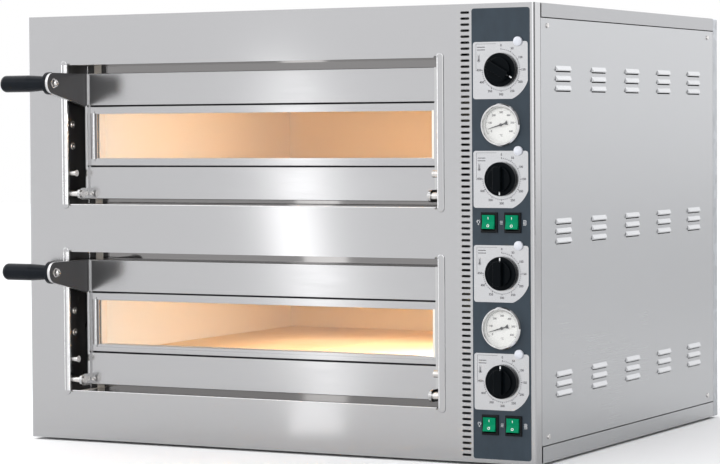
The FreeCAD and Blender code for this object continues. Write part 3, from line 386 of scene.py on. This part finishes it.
def dress_cad_nodes():
    """Every CAD node takes the look of its slot in the record, and a few nodes then take one of their own."""
    for part in frame["record"]["subparts"]:
        piece = nodes[part["node"]]
        piece.data.materials.clear()
        piece.data.materials.append(LOOKS[part["material_slot"]])
    nodes["top_cover"].data.materials[0] = cover_steel
    nodes["mouth_frames"].data.materials[0] = mirror_steel
    for deck in DECKS:
        nodes[deck + "_lever_grip"].data.materials[0] = grip_black
        nodes[deck + "_door_shell"].data.materials[0] = door_steel
        nodes[deck + "_door_liner"].data.materials[0] = liner_steel


dress_cad_nodes()


# === printed scales, icons and marks ==================================================================
class Artwork:
    """Thin printed or inlaid shapes on a flat face: u runs right, v runs up, both in millimetres."""

    def __init__(self, origin, lean=0.0, turn=0.0, film=0.06):
        """The face looks to the front through origin, leans back by an angle and is turned clockwise."""
        about_y = Matrix.Rotation(math.radians(turn), 4, "Y")
        about_x = Matrix.Rotation(math.radians(lean), 4, "X")
        self.place = Matrix.Translation(origin) @ about_y @ about_x
        self.film = film * MM
        self.mesh = bmesh.new()

    def outline(self, points):
        """A flat shape with a closed outline, one film thick."""
        sides = []
        for depth in (0.0, -self.film):
            sides.append(
                [self.mesh.verts.new(self.place @ Vector((u * MM, depth, v * MM))) for u, v in points]
            )
        self.mesh.faces.new(sides[0])
        self.mesh.faces.new(list(reversed(sides[1])))
        for index in range(len(points)):
            after = (index + 1) % len(points)
            self.mesh.faces.new((sides[0][after], sides[0][index], sides[1][index], sides[1][after]))

    def line(self, u0, v0, u1, v1, width):
        """A straight stroke from one point to another."""
        along = Vector((u1 - u0, v1 - v0)).normalized() * (width / 2)
        side = (-along.y, along.x)
        self.outline(
            [
                (u0 + side[0], v0 + side[1]),
                (u1 + side[0], v1 + side[1]),
                (u1 - side[0], v1 - side[1]),
                (u0 - side[0], v0 - side[1]),
            ]
        )

    def disc(self, u, v, r, sides=20):
        """A filled round spot."""
        turns = [math.tau * index / sides for index in range(sides)]
        self.outline([(u + r * math.cos(turn), v + r * math.sin(turn)) for turn in turns])

    def arc(self, u, v, r, width, start=0.0, end=360.0, pieces=32):
        """Part of a ring; angles are degrees clockwise from the top."""
        for index in range(pieces):
            a0, a1 = (
                math.radians(start + (end - start) * step / pieces) for step in (index, index + 1)
            )
            inner, outer = r - width / 2, r + width / 2
            self.outline(
                [
                    (u + inner * math.sin(a0), v + inner * math.cos(a0)),
                    (u + outer * math.sin(a0), v + outer * math.cos(a0)),
                    (u + outer * math.sin(a1), v + outer * math.cos(a1)),
                    (u + inner * math.sin(a1), v + inner * math.cos(a1)),
                ]
            )

    def tick(self, angle, r0, r1, width):
        """A mark along a radius; the angle is clockwise from the top."""
        s, c = math.sin(math.radians(angle)), math.cos(math.radians(angle))
        self.line(r0 * s, r0 * c, r1 * s, r1 * c, width)

    def text(self, words, u, v, height):
        """Plain upright figures centred on a point."""
        size_over_height = 1.38
        curve = bpy.data.curves.new("figures", "FONT")
        curve.body = words
        curve.size = height * MM * size_over_height
        curve.align_x = "CENTER"
        curve.align_y = "CENTER"
        curve.resolution_u = 3
        curve.offset = 0.09 * MM
        curve.extrude = self.film / 2
        writer = bpy.data.objects.new("figures", curve)
        bpy.context.scene.collection.objects.link(writer)
        bpy.context.view_layer.update()
        written = bpy.data.meshes.new_from_object(writer.evaluated_get(bpy.context.evaluated_depsgraph_get()))
        upright = Matrix.Rotation(math.radians(90), 4, "X")
        shift = Matrix.Translation((u * MM, -self.film / 2, v * MM))
        written.transform(self.place @ shift @ upright)
        self.mesh.from_mesh(written)
        bpy.data.objects.remove(writer)
        bpy.data.curves.remove(curve)
        bpy.data.meshes.remove(written)

    def finish(self, name, material, body):
        """Makes the shapes drawn so far into one piece."""
        bmesh.ops.recalc_face_normals(self.mesh, faces=self.mesh.faces)
        return add_piece(name, self.mesh, material, body)


def add_piece(name, mesh, material, body):
    """Turns a bmesh into a piece that rides on a CAD body."""
    data = bpy.data.meshes.new(name)
    mesh.to_mesh(data)
    mesh.free()
    data.materials.append(material)
    piece = bpy.data.objects.new(name, data)
    bpy.context.scene.collection.objects.link(piece)
    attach(piece, body)
    return piece


def joint(name):
    """A joint of the part's record, by its name."""
    return next(item for item in frame["joints"] if item["name"] == name)


def knob_setting(scale):
    """How far a knob stands clockwise from the top of its scale at rest, in degrees."""
    return -joint(scale + "_knob_turn")["range_deg"][0]


def plate_centre(scale):
    """Where a thermostat's axis meets the face of the dial plates."""
    centre = Vector(joint(scale + "_knob_turn")["pos_m"])
    centre.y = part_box("dial_plates")[0].y
    return centre


def scale_prints(scale):
    """Temperature scale of one thermostat, with its frame line."""
    highest = 450
    degrees_per_unit = 0.6
    ring_r, figures_r = 29.8, 35.9
    ink = Artwork(plate_centre(scale))
    for units in range(0, highest + 1, 10):
        major = units % 50 == 0
        ink.tick(units * degrees_per_unit, ring_r, 32.0 if major else 31.2, 1.0 if major else 0.6)
    for units in range(0, highest + 1, 50):
        angle = math.radians(units * degrees_per_unit)
        ink.text(str(units), figures_r * math.sin(angle), figures_r * math.cos(angle), 3.5)
    ink.arc(0, 0, ring_r, 0.25, end=highest * degrees_per_unit, pieces=60)
    corner_u, corner_v = -40.5, 38.5
    ink.line(corner_u, corner_v, -8.0, corner_v, 0.35)
    ink.line(corner_u, corner_v, corner_u, -2.0, 0.35)
    ink.finish(scale + "_scale_print", black_ink, "casing")


def scale_pictograms(scale):
    """A heating coil over a bar, and a thermometer tube, beside one temperature scale."""
    icon = Artwork(plate_centre(scale))
    coil_u, coil_pitch = -37.0, 2.4
    coil_v = 33.0 if "ceiling" in scale else 30.0
    for index in range(5):
        icon.arc(coil_u + index * coil_pitch, coil_v, 1.1, 0.8, start=-90.0, end=90.0, pieces=6)
    icon.line(coil_u - 1.6, coil_v - 3.2, coil_u + 11.2, coil_v - 3.2, 1.0)
    tube_u, tube_v = -36.0, 14.0
    icon.arc(tube_u, tube_v, 2.0, 0.5, pieces=16)
    for wall in (-1.2, 1.2):
        icon.line(tube_u + wall, tube_v + 1.6, tube_u + wall, tube_v + 9.0, 0.4)
    icon.disc(tube_u, tube_v, 1.1)
    icon.line(tube_u, tube_v, tube_u, tube_v + 7.0, 0.7)
    icon.finish(scale + "_pictogram", black_ink, "casing")


def knob_pointer(scale):
    """The white mark let into the skirt of a knob, beyond the end of its grip."""
    skirt_depth = 12.5 * MM
    inner_end, outer_end = 19.2, 23.5
    origin = Vector(joint(scale + "_knob_turn")["pos_m"])
    origin.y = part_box(scale + "_knob")[0].y + skirt_depth
    mark = Artwork(origin, turn=knob_setting(scale), film=0.45)
    mark.line(0, inner_end, 0, outer_end, 1.9)
    mark.finish(scale + "_knob_mark", white_ink, scale + "_control")


def gauge_prints(deck):
    """Scale of a dial thermometer."""
    first, last = -121.0, 121.0
    figures, ticks_between = 7, 10
    ring_r, figures_r = 25.6, 18.3
    centre = Vector(joint(deck + "_needle_turn")["pos_m"])
    centre.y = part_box("gauge_dials")[0].y
    ink = Artwork(centre)
    ink.arc(0, 0, ring_r, 0.3, start=first, end=last, pieces=60)
    ticks = (figures - 1) * ticks_between
    for step in range(ticks + 1):
        angle = first + (last - first) * step / ticks
        major = step % ticks_between == 0
        ink.tick(angle, ring_r, 22.4 if major else 24.0, 0.5 if major else 0.28)
    for index in range(figures):
        angle = math.radians(first + (last - first) * index / (figures - 1))
        ink.text(str(100 * index), figures_r * math.sin(angle), figures_r * math.cos(angle), 3.0)
    ink.text("°C", 0.0, -15.5, 3.2)
    ink.finish(deck + "_gauge_print", black_ink, "casing")


def rocker_marks(deck, side):
    """The stroke and the ring moulded on the two faces of a rocker."""
    name = f"{deck}_{side}_rocker"
    rest_tilt, face_slant = -5.0, 9.9
    face_out, face_up = 10.62 * MM, 5.6 * MM
    pivot = Vector(joint(name + "_tilt")["pos_m"])
    tilt = Matrix.Rotation(math.radians(rest_tilt), 3, "X")
    for mark, half in (("stroke", 1), ("ring", -1)):
        face = pivot + tilt @ Vector((0, -face_out, half * face_up))
        art = Artwork(face, lean=rest_tilt + half * face_slant, film=0.12)
        if mark == "stroke":
            art.line(0, -1.7, 0, 1.7, 0.8)
        else:
            art.arc(0, 0, 1.7, 0.75, pieces=24)
        art.finish(f"{name}_{mark}", white_ink, name + "_button")


def switch_icons(deck):
    """Small white pictograms beside the rockers: a shining lamp, three bars and three pairs of waves."""
    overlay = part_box("control_overlay")[0].y
    left = Vector(joint(f"{deck}_left_rocker_tilt")["pos_m"])
    right = Vector(joint(f"{deck}_right_rocker_tilt")["pos_m"])
    lamp = Artwork(Vector((left.x - 18.2 * MM, overlay, left.z)))
    lamp.arc(0, 0.6, 2.0, 0.55, start=-140.0, end=140.0, pieces=20)
    lamp.line(-1.2, -2.2, 1.2, -2.2, 0.5)
    lamp.line(-0.8, -3.2, 0.8, -3.2, 0.5)
    for angle in (-60.0, -20.0, 20.0, 60.0):
        lamp.tick(angle, 3.0, 4.2, 0.4)
    lamp.finish(deck + "_lamp_icon", white_ink, "casing")
    heat = Artwork(Vector(((left.x + right.x) / 2, overlay, left.z)))
    for level in (-2.0, 0.0, 2.0):
        heat.line(-2.2, level, 2.2, level, 0.5)
    heat.finish(deck + "_heat_icon", white_ink, "casing")
    waves = Artwork(Vector((right.x + 18.4 * MM, overlay, right.z)))
    for index in range(3):
        for half in (-1, 1):
            waves.arc(-3.2 + 1.8 * index, 1.9 * half, 2.2, 0.5, start=30.0, end=150.0, pieces=8)
    waves.finish(deck + "_wave_icon", white_ink, "casing")


for scale_name in SCALES:
    scale_prints(scale_name)
    scale_pictograms(scale_name)
    knob_pointer(scale_name)
for deck_name in DECKS:
    gauge_prints(deck_name)
    switch_icons(deck_name)
    for side_name in ("left", "right"):
        rocker_marks(deck_name, side_name)


# === sheet edges, seals and baffle ====================================================================
def bead(name, body, along, centre, half_length, half_width, height, look):
    """A half-round sheet edge that lies along X or Z and bulges to the front by its height."""
    facets = 8
    mesh = bmesh.new()
    turns = [math.pi * index / facets for index in range(facets + 1)]
    rings = []
    for way in (-1, 1):
        ring = []
        for turn in turns:
            across, forward = half_width * math.cos(turn), -height * math.sin(turn)
            if along == "X":
                offset = Vector((way * half_length, forward, across))
            else:
                offset = Vector((across, forward, way * half_length))
            ring.append(mesh.verts.new(Vector(centre) + offset))
        rings.append(ring)
    mesh.faces.new(rings[0])
    mesh.faces.new(list(reversed(rings[1])))
    for index in range(len(turns)):
        after = (index + 1) % len(turns)
        mesh.faces.new((rings[0][after], rings[0][index], rings[1][index], rings[1][after]))
    bmesh.ops.recalc_face_normals(mesh, faces=mesh.faces)
    return add_piece(name, mesh, look, body)


def recess_edges():
    """The folded sill under each door, the rolled edges of the left lip and the seams at the back."""
    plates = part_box("recess_side_plates")
    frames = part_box("mouth_frames")
    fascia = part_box("front_fascia")
    recess_h = 223.0 * MM
    front = fascia[0].y + 2.0 * MM
    levels = {"lower": frames[0].z + SHEET, "upper": frames[1].z - SHEET - recess_h}
    left, right = plates[0].x + SHEET, plates[1].x - SHEET
    for deck, z in levels.items():
        sill = ((left + right) / 2, front + 0.7 * MM, z - 0.1 * MM)
        half = (right - left) / 2 - 3 * MM
        bead(deck + "_sill", "casing", "X", sill, half, 0.8 * MM, 0.8 * MM, edge_steel)
        middle = z + recess_h / 2
        for end, x in (("left", left + 0.6 * MM), ("right", right - 0.6 * MM)):
            seam = (x, plates[1].y - 0.2 * MM, middle)
            name = f"{deck}_{end}_seam"
            half = recess_h / 2 - 0.5 * MM
            bead(name, "casing", "Z", seam, half, 0.7 * MM, 0.7 * MM, edge_steel)
        for edge, inset, half, proud in (("outer", 9.6, 0.8, 0.7), ("inner", 2.9, 2.8, 0.9)):
            lip = (left - inset * MM, fascia[0].y + 0.05 * MM, middle)
            name = f"{deck}_lip_{edge}_edge"
            bead(name, "casing", "Z", lip, recess_h / 2, half * MM, proud * MM, edge_steel)
        rim = (right + 1.9 * MM, fascia[0].y + 0.25 * MM, middle)
        name = deck + "_right_lip_edge"
        bead(name, "casing", "Z", rim, recess_h / 2, 0.7 * MM, 0.5 * MM, edge_steel)


def window_edges(deck):
    """Polished edges, painted shadow lines and a painted lit edge of the stepped frame, on both sides of a door's
    window.
    """
    low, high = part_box(deck + "_door_glass")
    lap = 6.0 * MM
    left, right = low.x + lap, high.x - lap
    middle = (low.z + high.z) / 2
    half = (high.z - low.z) / 2 - lap + 1.0 * MM
    ledge = low.y - 2.0 * MM
    frame_face = ledge - SHEET
    beads = (
        ("outer_edge", left - 17.0 * MM, frame_face, 1.0, edge_steel),
        ("shade_line", left - 10.6 * MM, frame_face, 0.7, shade_steel),
        ("inner_edge", left - 6.2 * MM, frame_face, 1.5, edge_steel),
        # Painted shadow: a dark line along the step beside the glass.
        ("step_shadow_line", left - 2.4 * MM, ledge, 1.1, shade_steel),
        ("lit_edge", right + 2.3 * MM, ledge, 2.1, lit_edge),
    )
    for name, x, y, width, look in beads:
        centre = (x, y + 0.05 * MM, middle)
        whole = f"{deck}_window_{name}"
        bead(whole, deck + "_door", "Z", centre, half, width * MM, 0.5 * MM, look)


def joint_seals(deck):
    """Black strips of painted shadow that lie deep in the two joints across a door."""
    flap_height, joint_depth, end_gap = 52.2 * MM, 2.6 * MM, 2.5 * MM
    low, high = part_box(deck + "_door_shell")
    middle = (low.x + high.x) / 2
    half = (high.x - low.x) / 2 - end_gap
    for name, z in (("lower", low.z + flap_height), ("upper", high.z - flap_height)):
        centre = (middle, low.y + joint_depth, z)
        whole = f"{deck}_door_{name}_joint_seal"
        bead(whole, deck + "_door", "X", centre, half, 1.15 * MM, 0.5 * MM, painted_shadow_black)


def air_baffle():
    """Slanted black slats inside the rear vents, so that nothing shows through the casing; their black is painted
    shade inside the vents.
    """
    slats, pitch = 14, 12.0
    middle, lowest = 382.5, 426.0
    setback = 10 * MM
    size = Matrix.Diagonal((106 * MM, 20 * MM, 0.8 * MM, 1.0))
    lean = Matrix.Rotation(math.radians(50), 4, "X")
    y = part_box("rear_panel")[0].y - setback
    mesh = bmesh.new()
    for index in range(slats):
        place = Matrix.Translation((middle * MM, y, (lowest + pitch * index) * MM))
        bmesh.ops.create_cube(mesh, size=1.0, matrix=place @ lean @ size)
    add_piece("rear_air_baffle", mesh, painted_shadow_black, "casing")


recess_edges()
air_baffle()
for deck_name in DECKS:
    window_edges(deck_name)
    joint_seals(deck_name)


# === floor, light and camera ==========================================================================
LAMP_COLOUR = (1.0, 0.98, 0.98)


def floor():
    """The studio floor: near white to the camera, greyer to the steel, and darkest far behind the oven; its grey
    for the steel is painted light and shade graded by depth.
    """
    mesh = bmesh.new()
    bmesh.ops.create_circle(mesh, cap_ends=True, segments=96, radius=14.0)
    data = bpy.data.meshes.new("studio_floor")
    mesh.to_mesh(data)
    mesh.free()
    made = Shader("studio floor", Roughness=0.9)
    soft = made.noise((1.1, 1.1, 1.1), detail=2.0)
    pale = made.mottled(soft, 0.3, 0.7, (0.92, 0.92, 0.92), (0.94, 0.94, 0.94))
    path = made.node("ShaderNodeLightPath")
    depth = made.axis("Object", "Y")
    # Painted light and shade: paler just behind the oven to make up for the oven's own shadow, and darker far
    # behind it.
    before = made.ranged(depth, -6.0, -1.0, 0.64, 0.595)
    shade = made.combined(before, made.ranged(depth, 1.0, 5.0, 0.07, -0.145))
    made.colour(made.mix(path.outputs["Is Camera Ray"], shade, pale))
    data.materials.append(made.material)
    ground = bpy.data.objects.new("studio_floor", data)
    bpy.context.scene.collection.objects.link(ground)


def softbox(name, place, aim, width, height, power, colour=(1.0, 1.0, 1.0)):
    """A rectangular lamp that faces a point."""
    light = bpy.data.lights.new(name, "AREA")
    light.shape = "RECTANGLE"
    light.size = width
    light.size_y = height
    light.energy = power
    light.color = colour
    holder = bpy.data.objects.new(name, light)
    holder.location = place
    holder.rotation_mode = "QUATERNION"
    holder.rotation_quaternion = (Vector(aim) - Vector(place)).to_track_quat("-Z", "Y")
    bpy.context.scene.collection.objects.link(holder)
    return holder


def studio_world():
    """Studio surroundings by direction: grey beyond the left front, bright screens at the left and behind
    the camera, a dark gap at the right, and plain white to the camera. The screens are pairs of a bearing
    in degrees and a level; the levels go from straight below to straight above."""
    world = bpy.data.worlds.new("studio")
    bpy.context.scene.world = world
    world.use_nodes = True
    tree = world.node_tree

    def made(kind, sources=(), **settings):
        node = tree.nodes.new(kind)
        for key, value in settings.items():
            setattr(node, key, value)
        for socket, source in sources:
            if isinstance(source, bpy.types.NodeSocket):
                tree.links.new(source, node.inputs[socket])
            else:
                node.inputs[socket].default_value = source
        return node

    def ramp(source, stops):
        node = made("ShaderNodeValToRGB", [("Fac", source)])
        elements = node.color_ramp.elements
        for index, (position, level) in enumerate(stops):
            stop = elements[index] if index < 2 else elements.new(position)
            stop.position = position
            stop.color = (level, level, level * 1.008, 1.0)
        return node.outputs["Color"]

    coords = made("ShaderNodeTexCoord")
    split = made("ShaderNodeSeparateXYZ", [("Vector", coords.outputs["Generated"])])
    forward = made("ShaderNodeMath", [(0, split.outputs["Y"]), (1, -1.0)], operation="MULTIPLY")
    azimuth = made(
        "ShaderNodeMath", [(0, split.outputs["X"]), (1, forward.outputs[0])], operation="ARCTAN2"
    )
    turned = made(
        "ShaderNodeMath", [(0, azimuth.outputs[0]), (1, 1 / math.tau), (2, 0.5)], operation="MULTIPLY_ADD"
    )
    screens = (
        (-180.0, 1.08), (-125.0, 1.15), (-104.0, 1.9), (-62.0, 1.9), (-46.0, 1.02), (-34.0, 0.96),
        (-28.0, 1.0), (-20.0, 0.98), (-8.0, 1.8), (30.0, 1.8), (46.0, 0.7), (60.0, 0.14), (96.0, 0.14),
        (112.0, 0.8), (130.0, 1.12), (165.0, 1.2), (180.0, 1.08),
    )
    around = ramp(turned.outputs[0], [(0.5 + degrees / 360.0, level) for degrees, level in screens])
    height = made("ShaderNodeMath", [(0, split.outputs["Z"]), (1, 0.5), (2, 0.5)], operation="MULTIPLY_ADD")
    levels = (
        (0.0, 0.72), (0.44, 0.80), (0.478, 0.90), (0.50, 1.0), (0.53, 1.05), (0.64, 1.12), (0.69, 1.65),
        (0.77, 1.65), (0.86, 0.9), (1.0, 0.9),
    )
    upward = ramp(height.outputs[0], levels)
    product = made(
        "ShaderNodeMix", [(0, 1.0), (6, around), (7, upward)], data_type="RGBA", blend_type="MULTIPLY"
    )

    lighting = made("ShaderNodeBackground", [("Color", product.outputs[2])])
    backdrop = made("ShaderNodeBackground", [("Color", (1.0, 1.0, 1.0, 1.0))])
    path = made("ShaderNodeLightPath")
    mix = made(
        "ShaderNodeMixShader",
        [(0, path.outputs["Is Camera Ray"]), (1, lighting.outputs[0]), (2, backdrop.outputs[0])],
    )
    tree.links.new(mix.outputs[0], tree.nodes["World Output"].inputs["Surface"])


def strip_lamp():
    """A narrow lamp, leaning a little, that stands before the oven and shows as a soft band in its front,
    and a second one on the floor that carries the band on below."""
    bearing, slant = math.radians(29.0), math.radians(-7.5)
    distance, gleam_distance = 1.5, 0.85
    outward = Vector((-math.sin(bearing), -math.cos(bearing), 0.0))
    foot = Vector((0.03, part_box("front_fascia")[0].y, 0.305))
    place = foot + outward * distance
    holder = softbox("strip", place, foot, 0.092, 0.61, 0.29)
    away = (foot - place).normalized()
    lean = Matrix.Rotation(slant, 4, away)
    turn = lean @ holder.rotation_quaternion.to_matrix().to_4x4()
    holder.rotation_quaternion = turn.to_quaternion()
    below = Vector((foot.x + 0.05, foot.y, 0.004)) + outward * gleam_distance
    gleam = softbox("strip_gleam", below, below + Vector((0, 0, 1)), 0.09, 1.2, 0.20)
    down = Vector((0, 0, -1))
    gleam.rotation_quaternion = Matrix((outward.cross(down), outward, down)).transposed().to_quaternion()
    gleam.visible_camera = False


def chamber_light(deck):
    """The light that a chamber's lamp gives, and the glow of its ceiling on the baking stones."""
    lamp_inset, lamp_level, clear_of_glass = 91.5 * MM, 131.5 * MM, 50 * MM
    low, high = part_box(deck + "_chamber")
    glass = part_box("chamber_lamps")[0].x
    light = bpy.data.lights.new(deck + "_chamber_light", "POINT")
    light.energy = 2.55
    light.color = LAMP_COLOUR
    light.shadow_soft_size = 0.03
    holder = bpy.data.objects.new(deck + "_chamber_light", light)
    holder.location = (glass - clear_of_glass, low.y + lamp_inset + clear_of_glass, low.z + lamp_level)
    bpy.context.scene.collection.objects.link(holder)
    above = ((low.x + high.x) / 2 + 0.06, low.y + 0.24, low.z + 0.108)
    glow = softbox(deck + "_chamber_glow", above, (above[0], above[1], 0.0), 0.46, 0.34, 0.34, LAMP_COLOUR)
    glow.visible_camera = False


def camera():
    """The main view: from the right of the front, and a little above the middle of the oven."""
    place = (2.0392, -3.8861, 0.4999)
    azimuth, elevation, roll = (math.radians(angle) for angle in (27.994, 2.238, -0.383))
    back = Vector(
        (
            math.sin(azimuth) * math.cos(elevation),
            -math.cos(azimuth) * math.cos(elevation),
            math.sin(elevation),
        )
    )
    level = Vector((0, 0, 1)).cross(back).normalized()
    upright = back.cross(level)
    right = level * math.cos(roll) + upright * math.sin(roll)
    up = upright * math.cos(roll) - level * math.sin(roll)
    data = bpy.data.cameras.new("camera")
    data.sensor_width = 36.0
    data.lens = 132.7
    data.clip_end = 60.0
    holder = bpy.data.objects.new("camera", data)
    turn = Matrix((right, up, back)).transposed()
    holder.matrix_world = Matrix.Translation(place) @ turn.to_4x4()
    bpy.context.scene.collection.objects.link(holder)
    bpy.context.scene.camera = holder


bpy.context.scene.view_settings.view_transform = "Standard"
floor()
studio_world()
softbox("overhead", (0.6, -0.8, 3.6), (0.0, 0.0, 0.3), 3.4, 3.4, 3.0)
strip_lamp()
for deck_name in DECKS:
    chamber_light(deck_name)
camera()
